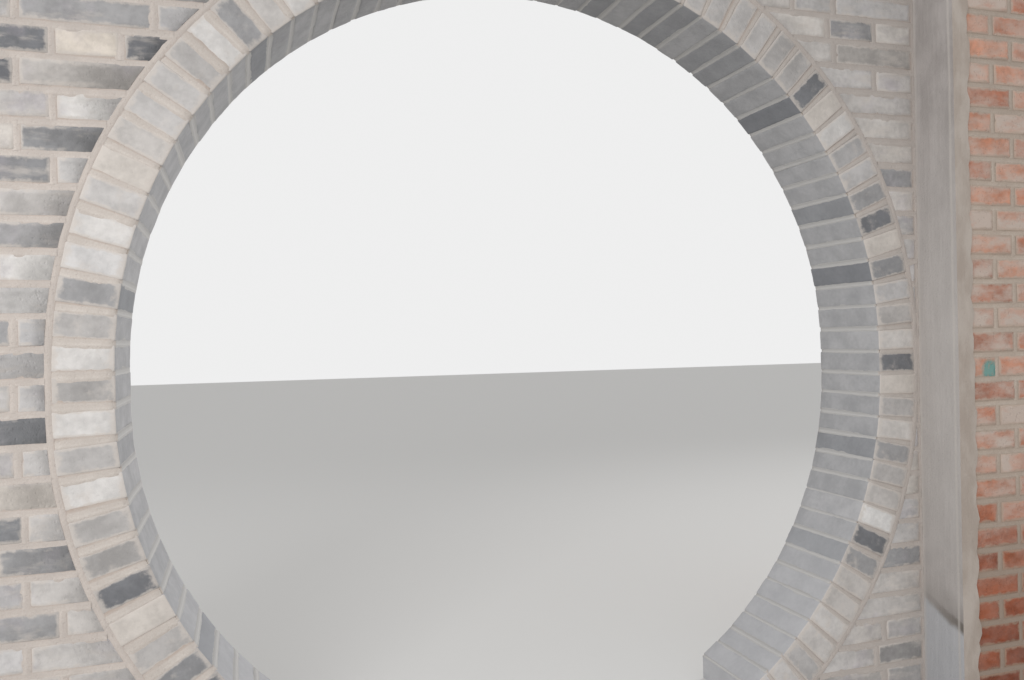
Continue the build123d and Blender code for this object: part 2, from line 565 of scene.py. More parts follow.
def make_ring_brick():
    """Ring brick: like the wall's on its face; on the soffit without the lime, painted darker and
    cooler as shade, streaked by damp, and painted lighter low down where more light falls.
    """
    material, tree, shader, place = new_material("ring_brick", 0.92)
    tone, warmth, seed, soffit_tone = read_firing(tree)
    height_up = split(tree, place)[2]
    warm = mix(tree, warmth, ramp(tree, tone, grey_firings), cream)
    mottled = mottle(tree, place, seed, warm, 0.17)
    film = stain(tree, place, 0.04, 0.52, 0.75)
    splash = times(tree, film, fade(tree, height_up, 0.10, 0.45, 0.9, 0.4))
    limed = mix(tree, splash, mottled, lime_film)
    face = smear(tree, place, limed, lime_film, 0.7)
    # Painted shade: the soffit's base is darker and cooler than the face, and has none of the face's
    # lime.
    damp = mottle(tree, place, seed, ramp(tree, soffit_tone, grey_firings), 0.18)
    cool_shade = mix(tree, 0.25, damp, paint(176, 178, 182))
    streak = stain(tree, place, 0.035, 0.42, 0.74, (1, 0.3, 1))
    streaked = mix(tree, times(tree, streak, 0.30), cool_shade, paint(146, 147, 150))
    # Painted light: the soffit is painted paler towards the ground, where more light falls on it.
    painted_low_light = fade(tree, height_up, 0.20, 0.60, 0.42, 0.0)
    soffit = mix(tree, painted_low_light, streaked, paint(196, 196, 199))
    inside = fade(tree, face_share(tree), 0.35, 0.75, 1.0, 0.0)
    colour = darken_high(tree, place, mix(tree, inside, face, soffit))
    end_material(tree, shader, colour, grain(tree, place, Swell=0.0009))
    return material


def struck_colour(tree, struck, groove, flat, ridge):
    """Brownish where the trowel struck the mortar in, pale along its ridge."""
    return ramp(tree, struck, [(0.0, groove), (0.4, flat), (0.72, flat), (1.0, ridge)])


def make_pointing(name, groove, flat, ridge, under, greyed=0.0, damp=0.0, inside=None):
    """Pointing in its four colours, greyer by the pier or damp at the foot, and as seen inside."""
    material, tree, shader, place = new_material(name, 0.95)
    struck = add(tree, "Attribute", attribute_name="struck").outputs["Fac"]
    along, _, height_up = split(tree, place)
    face = struck_colour(tree, struck, groove, flat, ridge)
    patch = times(tree, stain(tree, place, 0.06, 0.36, 0.62), 0.6)
    patched = mix(tree, patch, face, under)
    sand = fade(tree, noise(tree, place, 300.0, 3.0), 0.35, 0.7, 0.22, 0.0)
    colour = mix(tree, sand, patched, groove)
    colour = mix(tree, fade(tree, along, 0.2, 0.9, 0.0, greyed), colour, pointing_grey)
    colour = mix(tree, fade(tree, height_up, 0.20, 0.75, damp, 0.0), colour, pointing_damp)
    if inside:
        turned = fade(tree, face_share(tree), 0.30, 0.60, 1.0, 0.0)
        colour = mix(tree, turned, colour, struck_colour(tree, struck, *inside))
    relief = grain(tree, place, Grit=0.0007, Pits=0.0005, Swell=0.0008)
    end_material(tree, shader, darken_high(tree, place, colour), relief)
    return material


def patch_the_foot(tree, place, body):
    """Lay the bluer mix over the foot of the cement, with a dark line along its slanting edge, darker
    further forward.
    """
    _, y, height_up = split(tree, place)
    depth = calc(tree, "SUBTRACT", calc(tree, "ABSOLUTE", y), wall_half)
    edge = calc(tree, "SUBTRACT", patch_edge, times(tree, depth, patch_fall))
    wander = stain(tree, place, 0.06, 0.2, 0.8)
    edge = calc(tree, "ADD", edge, times(tree, wander, patch_wander))
    below = calc(tree, "SUBTRACT", edge, height_up)
    newer = mix(tree, 0.35, paint(188, 191, 196), body)
    patched = mix(tree, fade(tree, below, -0.004, 0.012), body, newer)
    above = fade(tree, below, -0.090, 0.0, 0.0, 0.6)
    edge_darkening = times(tree, above, fade(tree, below, 0.0, 0.02, 1.0, 0.0))
    from_core = calc(tree, "ABSOLUTE", calc(tree, "ADD", below, 0.006))
    core = fade(tree, from_core, 0.004, 0.026, 1.0, 0.0)
    weight = calc(tree, "ADD", 0.22, times(tree, depth, 5.5), clamp=True)
    edge_dark = times(tree, calc(tree, "MAXIMUM", edge_darkening, core), weight)
    return mix(tree, edge_dark, patched, paint(112, 106, 100)), depth


def make_cement():
    """Cement render: trowelled downwards, patched with a bluer mix at the foot."""
    material, tree, shader, place = new_material("cement_render", 0.9)
    streak = stain(tree, place, 0.016, 0.3, 0.72, (1, 1, 0.09))
    blotch = stain(tree, place, 0.07, 0.35, 0.66, (1, 1, 0.5))
    from_middle = calc(tree, "ABSOLUTE", calc(tree, "SUBTRACT", split(tree, place)[2], 0.80))
    dry = fade(tree, from_middle, 0.2, 0.85, 0.6, 0.0)
    soft = calc(tree, "ADD", times(tree, blotch, 0.65), times(tree, streak, 0.25))
    body = mix(tree, soft, paint(163, 157, 154), paint(186, 180, 177))
    body = mix(tree, dry, body, paint(195, 190, 186))
    lined, depth = patch_the_foot(tree, place, body)
    arris = calc(tree, "ABSOLUTE", calc(tree, "SUBTRACT", depth, 0.117))
    ridge = fade(tree, arris, 0.001, 0.006, 0.55, 0.0)
    root = fade(tree, depth, 0.003, 0.012, 0.45, 0.0)
    edged = mix(tree, calc(tree, "MAXIMUM", ridge, root), lined, paint(202, 196, 190))
    turned = fade(tree, face_share(tree), 0.5, 0.9)
    wrap = mix(tree, blotch, paint(176, 164, 154), paint(192, 182, 173))
    colour = mix(tree, turned, edged, wrap)
    strokes = times(tree, streak, 0.0006)
    relief = calc(tree, "ADD", strokes, grain(tree, place, Grit=0.0003, Swell=0.0006))
    end_material(tree, shader, colour, relief)
    return material


def make_red_brick():
    """Red brick under a chalky bloom, cleaner near the ground, with a dab of old paint."""
    material, tree, shader, place = new_material("red_brick", 0.92)
    tone, chalkiness, seed, _ = read_firing(tree)
    height_up = split(tree, place)[2]
    mottled = mottle(tree, place, seed, ramp(tree, tone, red_firings), 0.26)
    tide = times(tree, stain(tree, place, 0.10, 0.2, 0.8), 0.16)
    up = fade(tree, calc(tree, "ADD", height_up, tide), 0.28, 0.80)
    damp = mix(tree, up, paint(192, 156, 133), paint(255, 255, 255))
    rich = mix(tree, 1.0, mottled, damp, "MULTIPLY")
    bloom = stain(tree, place, 0.055, 0.32, 0.68, (0.6, 0.6, 1.2))
    dry = fade(tree, height_up, 1.15, 1.55, 0.86, 0.66)
    chalk = times(tree, times(tree, bloom, dry), fade(tree, up, 0.0, 1.0, 0.2, 1.0))
    whole = times(tree, chalkiness, fade(tree, up, 0.0, 1.0, 0.1, 0.6))
    white = calc(tree, "ADD", chalk, whole, clamp=True)
    bloomed = mix(tree, white, rich, paint(202, 186, 175))
    film = mix(tree, up, paint(166, 140, 122), paint(192, 174, 160))
    smeared = smear(tree, place, bloomed, film, 0.9)
    away = add(tree, "VectorMath", {0: place, 1: dab_place}, operation="DISTANCE")
    dab = fade(tree, away.outputs["Value"], 0.018, 0.032, 0.85, 0.0)
    torn = stain(tree, place, 0.012, 0.15, 0.5)
    colour = mix(tree, times(tree, dab, torn), smeared, paint(98, 164, 160))
    end_material(tree, shader, colour, grain(tree, place, Grit=0.0006, Pits=0.0009))
    return material


grey_brick = make_grey_brick()
ring_brick = make_ring_brick()
beige_pointing = make_pointing(
    "beige_pointing",
    paint(181, 165, 154),
    paint(203, 194, 187),
    paint(217, 209, 202),
    paint(190, 182, 176),
    greyed=0.35,
)
ring_pointing = make_pointing(
    "ring_pointing",
    paint(177, 161, 150),
    paint(204, 196, 189),
    paint(220, 213, 206),
    paint(194, 186, 179),
    greyed=0.4,
    inside=(paint(174, 172, 170), paint(187, 185, 183), paint(204, 202, 200)),
)
pier_pointing = make_pointing(
    "pier_pointing",
    paint(158, 141, 127),
    paint(194, 180, 167),
    paint(206, 194, 183),
    paint(184, 169, 156),
    damp=0.7,
)
bedding = make_pointing(
    "bedding",
    paint(150, 138, 126),
    paint(186, 172, 158),
    paint(200, 188, 176),
    paint(170, 160, 150),
)
cement_render = make_cement()
red_brick = make_red_brick()


# Patterns: each brick and each length of pointing is modelled once


def mark_rim(brick, low, high):
    """Mark the points along a brick's arrises, where mortar is smeared over it."""
    marks = brick.data.attributes.new("rim", "FLOAT", "POINT").data
    for point, mark in zip(brick.data.vertices, marks):
        near = [min(point.co[axis] - low[axis], high[axis] - point.co[axis]) for axis in range(3)]
        mark.value = float(sum(gap < rim_reach for gap in near) >= 2)
    brick.data.attributes.new("fired", "FLOAT_COLOR", "POINT")


def model_brick(name, length, depth):
    """A brick with its arrises worn off and a rim drawn inside each upright face."""
    brick = start_block(name, (length, depth, brick_height))
    bpy.ops.object.mode_set(mode="EDIT")
    bpy.ops.mesh.select_all(action="SELECT")
    bpy.ops.mesh.bevel(offset=arris_wear, segments=1, affect="EDGES")
    bpy.context.tool_settings.mesh_select_mode = (False, False, True)
    close_edit()
    for face in brick.data.polygons:
        face.select = face.area > 0.003 and abs(face.normal.z) < 0.5
    bpy.ops.object.mode_set(mode="EDIT")
    bpy.ops.mesh.inset(thickness=rim_width, use_individual=True)
    close_edit()
    bpy.ops.object.shade_smooth_by_angle(angle=radians(50))
    half = Vector((length, depth, brick_height)) / 2
    mark_rim(brick, -half, half)
    return brick


def model_ring_brick():
    """A ring brick, cut fine enough for its faces to be worn uneven."""
    size = (ring_depth, 2 * wall_half, brick_height)
    brick = start_block("ring_brick_pattern", size, (clear_radius + ring_depth / 2, 0, 0))
    change_all(brick, bpy.ops.mesh.subdivide, number_cuts=5)
    apply_modifier(brick, "BEVEL", width=ring_arris_wear, segments=2, limit_method="ANGLE")
    bpy.ops.object.shade_smooth_by_angle(angle=radians(50))
    low = Vector((clear_radius, -wall_half, -brick_height / 2))
    mark_rim(brick, low, low + Vector(size))
    return brick


# How far the pointing stands out from the brick faces, row by row from its lower edge
# to its upper edge, and how it was struck: 0 in the groove, 1 along the ridge.
strip_rows = [
    (-0.0030, 0.6),
    (-0.0007, 0.6),
    (0.0000, 0.9),
    (-0.0001, 0.7),
    (-0.0008, 0.2),
    (-0.0015, 0.0),
    (-0.0030, 0.4),
]
strip_width = 0.034
strip_cell = 0.012


def model_strip(name, length):
    """A straight length of pointing along X that faces the front, struck by trowel."""
    strip = start_sheet(name, max(2, round(length / strip_cell)), 6, length, strip_width)
    strip.data.attributes.new("struck", "FLOAT", "POINT")
    for row, (height, struck) in enumerate(strip_rows):
        level = strip_width * (row / 6 - 0.5)
        shift_points(strip, lambda point: abs(point.z - level) < strip_width / 20, (0, -height, 0))
        for point, mark in zip(strip.data.vertices, strip.data.attributes["struck"].data):
            if point.select:
                mark.value = struck
    bpy.ops.object.shade_smooth()
    return strip


def lay_bed(length, place, turn):
    """Repeat the unit of bed joint to a length and set the run in its place."""
    count = max(1, round(length / bed_unit_length))
    run = copy_of(bed_unit)
    apply_modifier(
        run,
        "ARRAY",
        fit_type="FIXED_COUNT",
        count=count,
        use_relative_offset=False,
        use_constant_offset=True,
        constant_offset_displace=(bed_unit_length, 0, 0),
        use_merge_vertices=True,
        merge_threshold=seam,
    )
    middle = bed_unit_length * (count - 1) / 2
    run.data.transform(Matrix.Translation((-middle, 0, 0)))
    run.scale = (length / (bed_unit_length * count), 1, 1)
    run.location = place
    run.rotation_euler = turn
    return run


def lay_upright(x, y, z, turn):
    """Lay one upright joint in its place, turned to its face."""
    return copy_of(upright_unit, (x, y, z), (0, pi / 2, turn))


stretcher = model_brick("stretcher_pattern", stretcher_length, header_length)
header = model_brick("header_pattern", header_length, stretcher_length)
ring_pattern = model_ring_brick()
bed_unit_length = 0.120
bed_unit = model_strip("bed_unit", bed_unit_length)
upright_unit = model_strip("upright_unit", 0.056)


# Firing: how light, how warm, and a number of its own for each brick

# Bricks that stand out in the wall, by a point on each: how light and how warm
marked_bricks = [
    ((-1.065, 1.54), 0.10, 0.0),
    ((-0.860, 1.54), 0.08, 0.0),
    ((-1.115, 1.48), 0.05, 0.0),
    ((-1.060, 1.355), 0.28, 0.0),
    ((-1.075, 1.29), 0.26, 0.0),
    ((-1.070, 1.17), 0.48, 0.0),
    ((-1.120, 0.975), 0.40, 0.0),
    ((-1.070, 0.975), 0.66, 0.0),
    ((-1.070, 0.78), 0.18, 0.0),
    ((-1.120, 0.725), 0.62, 0.1),
    ((-1.070, 0.725), 0.74, 0.1),
    ((-1.080, 0.66), 0.82, 0.4),
    ((-1.120, 0.60), 0.20, 0.0),
    ((-1.080, 0.53), 0.32, 0.0),
    ((-1.070, 0.40), 0.38, 0.0),
    ((-0.960, 1.54), 0.88, 0.6),
    ((-0.970, 1.605), 0.42, 0.0),
    ((-0.980, 1.42), 0.95, 0.1),
    ((-1.070, 1.10), 0.96, 0.1),
    ((0.790, 1.735), 0.36, 0.0),
    ((0.920, 1.67), 0.40, 0.2),
    ((0.990, 1.335), 0.34, 0.0),
    ((0.990, 0.335), 0.34, 0.0),
    ((0.950, 0.09), 0.28, 0.1),
]

# Where the wall is evenly fired, up to a height: left of the opening, by a point a little
# in from a brick's end, and right of it, where it is lighter higher up
even_height = 1.8
even_left = (-1.14, -0.70)
even_right = 0.62
point_in = 0.06
lighter_height = 1.2

# Kinds of ring brick that stand out: how light and how warm on the face, and how
# light on the soffit
ring_kinds = {
    "charcoal": (0.08, 0.0, 0.45),
    "slate": (0.26, 0.0, 0.0),
    "burnt": (0.12, 0.0, 0.0),
    "dusky": (0.37, 0.0, 0.2),
    "dun": (0.38, 0.1, 0.5),
    "dim": (0.52, 0.1, 0.5),
    "light": (0.74, 0.1, 0.5),
    "rosy": (0.74, 0.35, 0.5),
    "pale": (0.90, 0.1, 0.55),
    "white": (1.0, 0.0, 0.6),
    # A brick whose soffit is darker than its face
    "dark_inside": (0.72, 0.1, 0.30),
}

# Where they are: counted from the right springing over the crown, then down from each
# springing, and at the two level bricks
ring_marks = {
    "upper": {
        "charcoal": (5,),
        "burnt": (11,),
        "slate": (3,),
        "dusky": (6, 35, 45),
        "dim": (12, 13, 37, 46),
        "light": (38, 39, 42),
        "rosy": (4, 10, 41),
        "pale": (9, 33, 36, 43, 47),
        "dark_inside": (14, 15, 17, 18, 20),
    },
    "lower_left": {
        "charcoal": (5, 9),
        "slate": (8,),
        "dun": (4,),
        "dim": (3, 7),
        "rosy": (6,),
        "pale": (0, 2),
    },
    "lower_right": {"charcoal": (7,), "dusky": (3, 8), "rosy": (0,), "white": (6,)},
    "springer_left": {"dun": (0,)},
    "springer_right": {"charcoal": (0,)},
}


def common_firing():
    """The firing of a brick that nothing marks out."""
    lot = dice.random()
    if lot < 0.10:
        return dice.uniform(0.05, 0.30), 0.0
    if lot < 0.32:
        return dice.uniform(0.40, 0.62), dice.uniform(0, 0.15)
    if lot < 0.38:
        return dice.uniform(0.76, 0.90), dice.uniform(0.2, 0.6)
    return dice.uniform(0.62, 0.90), dice.uniform(0, 0.2)


def quiet_firing():
    """The firing of a brick that stays near the common grey."""
    return dice.uniform(0.52, 0.88), dice.uniform(0, 0.2)


def wall_firing(x_low, x_high, z_low, z_high):
    """The firing of a wall brick, as marked where a marked point falls on it."""
    for (x, z), tone, warmth in marked_bricks:
        if x_low < x < x_high and z_low < z < z_high:
            return tone, warmth
    if z_low < even_height and x_high > even_right:
        lightest = 0.93 if z_low > lighter_height else 0.69
        return dice.uniform(lightest - 0.28, lightest), dice.uniform(0.05, 0.3)
    if z_low < even_height and even_left[0] < x_low + point_in < even_left[1]:
        return quiet_firing()
    return common_firing()


def ring_firing(run, number):
    """The firing of a ring brick by its kind, or near the common grey."""
    for kind, numbers in ring_marks[run].items():
        if number in numbers:
            return ring_kinds[kind]
    return (*quiet_firing(), dice.uniform(0.42, 0.58))


def fire(brick, tone, warmth, soffit=0.5):
    """Write a brick's firing into its points, with a number of its own."""
    values = (tone, warmth, dice.random(), soffit) * len(brick.data.vertices)
    brick.data.attributes["fired"].data.foreach_set("color", values)


# Bond


def past_springing(z):
    """How far a height is above the upper springing or below the lower one."""
    return max(z - springing_high, springing_low - z, 0)


def ring_edge(z):
    """Half the width of the ring at a height, or nothing above it."""
    return sqrt(max(ring_outer**2 - past_springing(z) ** 2, 0))


def make_ring_cutter():
    """The outline of the ring, drawn out at the springing, to cut the wall's bricks to."""
    bpy.ops.mesh.primitive_cylinder_add(
        vertices=180, radius=ring_outer + hair, depth=0.5, rotation=(pi / 2, 0, 0)
    )
    cutter = set_out("ring_cutter", (1, 1, 1), (0, 0, centre_height))
    stretch = (springing_high - springing_low) / 2
    for side in (-1, 1):
        drawn_out = (0, 0, side * stretch)
        shift_points(cutter, lambda point: side * (point.z - centre_height) > hair, drawn_out)
    return cutter


ring_cutter = make_ring_cutter()
header_cell = header_length + joint
stretcher_cell = stretcher_length + joint

# Ends of a course: the width below which a last brick is put right, the width below which
# it is a sliver, and the width that two bricks can share
narrow_end = 0.06
sliver = 0.025
room_for_two = 0.2


def lay_cells(edge, starts_with_header, low, high):
    """Divide a course into headers and stretchers in turn from one edge, between two ends."""
    pair = header_cell + stretcher_cell
    back = ceil((edge - low) / pair) + 1
    position = edge - back * pair
    is_header = starts_with_header
    cells = []
    while position < high:
        width = header_cell if is_header else stretcher_cell
        start = max(position, low)
        end = min(position + width, high)
        if end > start:
            cells.append([start, end, is_header])
        position += width
        is_header = not is_header
    return tidy_ends(cells)


def tidy_ends(cells):
    """Widen a narrow last brick, or share a sliver at either end with its neighbour."""
    for end, beside in ((0, 1), (-1, -2)):
        if len(cells) < 2 or cells[end][1] - cells[end][0] > narrow_end:
            continue
        if end == -1 and cells[end][1] - cells[end][0] > sliver:
            inner = cells[end][1] - cut_brick
            cells[end][0] = inner
            cells[beside][1] = inner
            continue
        low = min(cells[end][0], cells[beside][0])
        high = max(cells[end][1], cells[beside][1])
        if high - low > room_for_two:
            middle = (low + high) / 2
            first, second = ((low, middle), (middle, high))
            if end == -1:
                first, second = second, first
            cells[end][0:2] = first
            cells[beside][0:2] = second
        else:
            cells[beside][0:2] = (low, high)
            del cells[end]
    return cells


# The middle of one header left of the opening, in the even and in the odd courses
header_middles = (-0.958, -0.7705)

# Courses whose bond has drifted, and how far
drifted_courses = {17: -0.042, 19: -0.042}

# The course from which the bond right of the opening starts with the other brick
bond_change = 14

# How far the bricks keep off the cement, and how far they reach in behind the ring's
# outline before they are cut to it
cement_gap = 0.004
ring_tuck = 0.02

# The most that a brick lies out of true: in metres, along the wall or up, and across it, and
# in degrees, as it leans along the wall and as it is twisted
along_play = 0.001
across_play = 0.0006
lean = 0.45
twist = 0.2


def left_course(number, low, high):
    """Cells of a course in the left stretch, each header over the middle of a stretcher."""
    middle = header_middles[number % 2] + drifted_courses.get(number, 0.0)
    return lay_cells(middle - header_cell / 2, True, low, high)


def right_course(number, low, high):
    """Cells of a course that is counted back from the pier."""
    from_header = number % 2 == (1 if number >= bond_change else 0)
    edge = high - (header_cell if from_header else stretcher_cell)
    return lay_cells(edge, from_header, low, high)


def course_cells(number):
    """Every cell of one course of the grey wall, left and right of the opening."""
    low = number * course
    middle = low + course / 2
    high = low + course
    edge = ring_edge(middle)
    reach = min(ring_edge(low), ring_edge(high))
    right_stop = cement_box[0].x - cement_gap
    if reach == 0 and edge == 0 or number >= round(haunch_height / course):
        return left_course(number, left_end, right_stop)
    cells = left_course(number, left_end, -max(edge, joint))
    right = right_course(number, max(edge, joint), right_stop)
    cells[-1][1] = -max(reach - ring_tuck, 0.0)
    if right:
        right[0][0] = max(reach - ring_tuck, 0.0)
    return cells + right


def stray(most):
    """A chance amount, up to the most either way."""
    return dice.uniform(-most, most)


def lay_brick(x_low, x_high, y_low, y_high, z_low, firing):
    """Lay one brick into its place in a course, a little out of true."""
    width = x_high - x_low + dice.uniform(-0.002, 0.001)
    depth = y_high - y_low
    if width > depth:
        pattern, stretch = stretcher, (width / stretcher_length, depth / header_length, 1)
    else:
        pattern, stretch = header, (width / header_length, depth / stretcher_length, 1)
    place = (
        (x_low + x_high) / 2 + stray(along_play),
        (y_low + y_high) / 2 + stray(across_play),
        z_low + course / 2 + stray(along_play),
    )
    turn = (0, radians(stray(lean)), radians(stray(twist)))
    brick = copy_of(pattern, place, turn, stretch)
    reach = max(ring_edge(z_low), ring_edge(z_low + course)) + 2 * hair
    if abs(place[0]) - width / 2 < reach:
        bpy.context.view_layer.update()
        apply_modifier(brick, "BOOLEAN", operation="DIFFERENCE", object=ring_cutter, solver="EXACT")
    fire(brick, *firing)
    return brick


def lay_course(number):
    """Lay one course of the grey wall and say where its upright joints are."""
    z_low = number * course
    bricks = []
    uprights = []
    for start, end, is_header in course_cells(number):
        x_low = start + (joint / 2 if start > left_end + hair else hair)
        x_high = end - joint / 2
        firing = wall_firing(x_low, x_high, z_low, z_low + course)
        if is_header:
            bricks.append(lay_brick(x_low, x_high, -wall_half, wall_half, z_low, firing))
        else:
            inner = wall_half - header_length
            bricks.append(lay_brick(x_low, x_high, -wall_half, -inner, z_low, firing))
            bricks.append(lay_brick(x_low, x_high, inner, wall_half, z_low, common_firing()))
        uprights.append(start)
    return bricks, uprights


def side_of(number, piece_x):
    """The stretch of wall that a brick belongs to."""
    height = number * course
    if height >= haunch_height - hair:
        return "over_arch"
    side = "left" if piece_x < 0 else "right"
    return f"{side}_lower" if height < shoulder_height - hair else f"spandrel_{side}"


wall_stretches = {
    "left_lower": "wall_left_lower",
    "right_lower": "wall_right_lower",
    "spandrel_left": "spandrel_left",
    "spandrel_right": "spandrel_right",
    "over_arch": "wall_over_arch",
}
wall_bricks = {stretch: [] for stretch in wall_stretches}
wall_strips = {stretch: [] for stretch in wall_stretches}


# How near the ring an upright joint may come, and the bead that closes the wall against the
# cement: how far it is tucked under the wall's edge, and how flat it is
ring_clearance = 0.012
bead_tuck = 0.0025
bead_flatness = 0.7


def face_turn(side):
    """The turn that sets front pointing on the front or the back face."""
    return 0 if side < 0 else pi


def point_uprights(number, uprights):
    """Point the upright joints of a course, on both faces and at the free end."""
    middle = (number + 0.5) * course
    for x in uprights:
        strips = wall_strips[side_of(number, x)]
        if x <= left_end + hair:
            strips.append(lay_upright(left_end, 0, middle, -pi / 2))
        elif abs(x) >= ring_edge(middle) + ring_clearance:
            for side in (-1, 1):
                strips.append(lay_upright(x, side * wall_half, middle, face_turn(side)))


def point_bed(number):
    """Point the bed under a course, on both faces and at the free end."""
    bed = number * course
    edge = ring_edge(bed)
    spans = [(left_end, cement_box[0].x)]
    if edge > 0:
        spans = [(left_end, -edge), (edge, cement_box[0].x)]
    for x_low, x_high in spans:
        strips = wall_strips[side_of(number, x_low if x_high < 0 else x_high)]
        for side in (-1, 1):
            place = ((x_low + x_high) / 2, side * wall_half, bed)
            strips.append(lay_bed(x_high - x_low, place, (0, 0, face_turn(side))))
    end_bed = lay_bed(2 * wall_half, (left_end, 0, bed), (0, 0, -pi / 2))
    wall_strips[side_of(number, left_end)].append(end_bed)


course_total = round(wall_top / course)
for number in range(course_total):
    bricks, uprights = lay_course(number)
    for brick in bricks:
        wall_bricks[side_of(number, brick.location.x)].append(brick)
    point_uprights(number, uprights)
    if number:
        point_bed(number)


def point_beside_cement(z_low, z_high, side):
    """The upright bead that closes the grey wall against the cement."""
    place = (cement_box[0].x - bead_tuck, side * wall_half, (z_low + z_high) / 2)
    turn = (0, side * pi / 2, face_turn(side))
    bead = lay_bed(z_high - z_low, place, turn)
    bead.scale.z = bead_flatness
    return bead


for side in (-1, 1):
    for stretch in ("right_lower", "spandrel_right", "over_arch"):
        low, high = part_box(wall_stretches[stretch])
        wall_strips[stretch].append(point_beside_cement(low.z, high.z, side))

for stretch, node in wall_stretches.items():
    assemble(f"bricks_{stretch}", wall_bricks[stretch], brick_wear, "grey_brick", grey_brick)
    strips = wall_strips[stretch]
    assemble(f"pointing_{stretch}", strips, wall_pointing_wear, "mortar", beige_pointing)


# Cores: the mortar behind the bricks, set in a little from every face


def make_core(name, node, set_in):
    """Copy a solid, merge its points and draw its faces in behind the bricks."""
    core = copy_of(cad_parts[node])
    core.parent = None
    core.name = name
    for key in list(core.keys()):
        del core[key]
    change_all(core, bpy.ops.mesh.remove_doubles, threshold=same_point)
    low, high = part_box(node)
    for axis, at_low, at_high in set_in:
        for limit, shift in ((low[axis], at_low), (high[axis], -at_high)):
            move = Vector((0, 0, 0))
            move[axis] = shift
            shift_points(core, lambda point: abs(point[axis] - limit) < hair / 2, move)
    return core


def lay_core(name, node, set_in, slot):
    """Set the core of a stretch of brickwork in the place of its solid."""
    finish_piece(make_core(name, node, set_in), slot, bedding, node)


front_and_back = (1, core_depth, core_depth)

for stretch, node in wall_stretches.items():
    at_end = core_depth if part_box(node)[0].x < left_end + 0.01 else 0
    lay_core(f"core_{stretch}", node, [front_and_back, (0, at_end, 0)], "grey_brick")


# Ring: bricks on edge, and the joint that runs up each face and across the soffit


def ring_runs():
    """Each run of the ring: its name, centre, first angle, pitch and number of bricks."""
    return [
        ("upper", springing_high, upper_pitch - level_share, upper_pitch, upper_count),
        ("lower_left", springing_low, pi + left_pitch - level_share, left_pitch, left_count),
        ("lower_right", springing_low, level_share - right_pitch, -right_pitch, right_count),
    ]


def ring_stations():
    """Every ring brick: its node, centre height, angle and firing."""
    stations = []
    for run, centre, first_angle, pitch, count in ring_runs():
        groups = ceil(count / bricks_in_group)
        for number in range(count):
            group = sum(number >= round(step * count / groups) for step in range(groups))
            angle = first_angle + number * pitch
            stations.append((f"ring_{run}_{group}", centre, angle, ring_firing(run, number)))
    for side, angle in (("left", pi), ("right", 0)):
        firing = ring_firing(f"springer_{side}", 0)
        stations.append((f"ring_springer_{side}", centre_height, angle, firing))
    return stations


def trim_at_ground(piece, closed=False):
    """Cut off what reaches below the ground."""
    change_all(
        piece,
        bpy.ops.mesh.bisect,
        plane_co=(0, 0, ground_cut),
        plane_no=(0, 0, 1),
        clear_inner=True,
        use_fill=closed,
    )


# The most that a ring brick lies out of true: round the ring in degrees, and outwards
swing_play = 0.12
stand_play = 0.0007

dice.seed(23)
ring_groups = {}
for node, centre, angle, firing in ring_stations():
    swing = angle + radians(stray(swing_play))
    stand = stray(stand_play)
    place = (stand * cos(swing), stray(along_play), centre + stand * sin(swing))
    brick = copy_of(ring_pattern, place, (0, -swing, 0))
    fire(brick, *firing)
    ring_groups.setdefault(node, []).append(brick)

for node, bricks in ring_groups.items():
    group = join(f"worn_{node}", bricks)
    wear(group, ring_wear)
    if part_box(node)[0].z < hair:
        trim_at_ground(group, closed=True)
    finish_piece(group, "ring_brick", ring_brick, node)


# The shape of a ring joint: how flat it lies on the soffit, how much each row of its wings
# is wider than the last, and how far the tips of the wings are pressed in
soffit_flatness = 0.25
wing_spread = 1.025
tip_press = 0.0015


def model_ring_joint(name, soffit_share):
    """One joint of the ring, folded round the soffit with a wing up each face."""
    clip = model_strip(name, 2 * (ring_depth + wall_half))
    inside = wall_half - 0.005
    change_points(
        clip,
        lambda point: abs(point.x) < inside,
        bpy.ops.transform.resize,
        value=(1, soffit_flatness, soffit_share),
        center_override=(0, 0, 0),
    )
    for side in (-1, 1):
        change_points(
            clip,
            lambda point: side * point.x > wall_half + hair,
            bpy.ops.transform.rotate,
            value=-side * pi / 2,
            orient_axis="Z",
            center_override=(side * wall_half, 0, 0),
        )
    for step in range(1, 10):
        change_points(
            clip,
            lambda point: point.y > step * strip_cell,
            bpy.ops.transform.resize,
            value=(1, 1, wing_spread),
            center_override=(0, 0, 0),
        )
    tip = ring_depth - strip_cell / 2
    for side in (-1, 1):
        pressed_in = (-side * tip_press, 0, 0)
        shift_points(clip, lambda point: side * point.x > 0 and point.y > tip, pressed_in)
    clip.location = (clear_radius, 0, 0)
    clip.rotation_euler = (0, 0, -pi / 2)
    settle(clip)
    return clip


wide_joint = model_ring_joint("wide_joint_pattern", 0.62)
thin_joint = model_ring_joint("thin_joint_pattern", 0.8)

# How wide the joints are struck, as shares of a strip: on the left half of the ring, on its
# right half and at its feet
left_joint_width = 0.95
right_joint_width = 0.55
foot_joint_width = 0.35

# The share of the wall's depth that a thin joint fills, how far a joint strays along the wall
# at most, and how many pitches the joints at the feet lie short of a next brick's place
thin_joint_depth = 0.9985
joint_play = 0.0004
foot_joint_back = 0.53


def joint_stations():
    """Every joint of the ring: the height of its centre, its angle, and how wide it is."""
    stations = []
    for run, centre, first_angle, pitch, count in ring_runs():
        for number in range(count + (run == "upper")):
            angle = first_angle + (number - 0.5) * pitch
            width = left_joint_width if cos(angle) < 0 else right_joint_width
            stations.append((centre, angle, width))
    return stations


